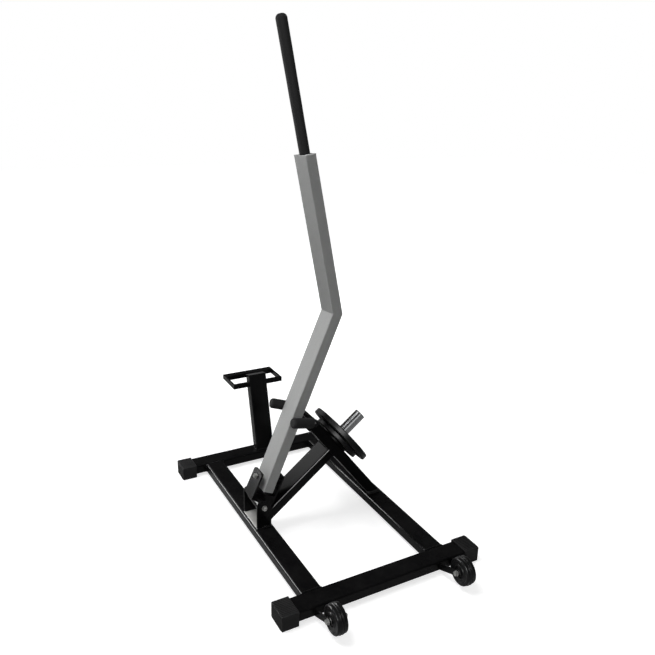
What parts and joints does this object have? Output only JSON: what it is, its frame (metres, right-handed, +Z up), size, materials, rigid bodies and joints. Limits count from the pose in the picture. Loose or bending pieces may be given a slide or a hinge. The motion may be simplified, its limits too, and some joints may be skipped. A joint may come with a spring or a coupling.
{
  "type": "abdominal machine",
  "caption": "Floor-standing abdominal machine: a tall bent lever in a fork on a plate-loaded weight arm, hinged on one rail of a flat base frame.",
  "frame": {"origin": "on the floor under the middle of the whole object's box", "axes": "+X along the cross tubes towards the weight plates, +Y along the rails to the rear post, +Z up"},
  "size_m": [0.8842, 1.53, 2.0615],
  "materials": {
    "frame_paint": "glossy black paint",
    "lever_paint": "satin silver-grey paint",
    "zinc": "zinc plated",
    "chrome": "polished",
    "cast_iron": "black enamelled casting",
    "cap_rubber": "moulded, ribbed",
    "grip_rubber": "matt foam rubber",
    "tyre": "moulded",
    "black_plastic": "moulded"
  },
  "bodies": {
    "base": {"front_tube": "frame_paint", "rear_tube": "frame_paint", "rail_left": "frame_paint", "rail_right": "frame_paint", "cap_front_left": "cap_rubber", "cap_front_right": "cap_rubber", "cap_rear_left": "cap_rubber", "cap_rear_right": "cap_rubber", "post": "frame_paint", "post_cap": "black_plastic", "pad_ring": "frame_paint", "pivot_base": "zinc", "pivot_plates": "frame_paint", "axle_bolt": "zinc", "axle_nut": "zinc", "wheel_brackets": "frame_paint", "wheel_bolts": "zinc", "wheel_nuts": "zinc"},
    "wheel_left": {"tyre_left": "tyre", "wheel_hub_left": "black_plastic"},
    "wheel_right": {"tyre_right": "tyre", "wheel_hub_right": "black_plastic"},
    "weight_arm": {"hub_tube": "frame_paint", "yoke": "frame_paint", "arm_tube": "frame_paint", "arm_plug": "black_plastic", "rest_bar": "frame_paint", "rest_pad": "cap_rubber", "fork_rod": "frame_paint", "peg_studs": "frame_paint", "peg_front": "grip_rubber", "peg_rear": "grip_rubber", "sleeve": "chrome", "sleeve_cap": "black_plastic", "collar": "frame_paint", "lever_bolt": "zinc", "lever_nut": "zinc"},
    "lever": {"lever_tube": "lever_paint", "lever_bush": "zinc", "lever_foot_cap": "black_plastic", "lever_top_cap": "lever_paint", "grip_rod": "zinc", "grip": "grip_rubber"},
    "plate_small": {"plate_small": "cast_iron"},
    "plate_big": {"plate_big": "cast_iron"}
  },
  "joints": [
    {"name": "arm_hinge", "type": "hinge", "parent": "base", "child": "weight_arm", "pos_m": [-0.28, -0.02503, 0.154], "axis": [0, -1, 0], "range_deg": [0, 60]},
    {"name": "lever_swing", "type": "hinge", "parent": "weight_arm", "child": "lever", "pos_m": [-0.23456, -0.02503, 0.246], "axis": [0.907, 0, -0.421], "range_deg": [0, 7]},
    {"name": "big_plate_slide", "type": "slide", "parent": "weight_arm", "child": "plate_big", "axis": [0.7859, 0, 0.6184], "range_m": [0, 0.105]},
    {"name": "small_plate_slide", "type": "slide", "parent": "weight_arm", "child": "plate_small", "axis": [0.7859, 0, 0.6184], "range_m": [0, 0.105]},
    {"name": "wheel_left_spin", "type": "hinge", "parent": "base", "child": "wheel_left", "pos_m": [-0.279, -0.70903, 0.072], "axis": [1, 0, 0], "continuous": true},
    {"name": "wheel_right_spin", "type": "hinge", "parent": "base", "child": "wheel_right", "pos_m": [0.281, -0.70903, 0.072], "axis": [1, 0, 0], "continuous": true}
  ],
  "couplings": [
    {"joint": "small_plate_slide", "follows": "big_plate_slide", "ratio": 1}
  ]
}
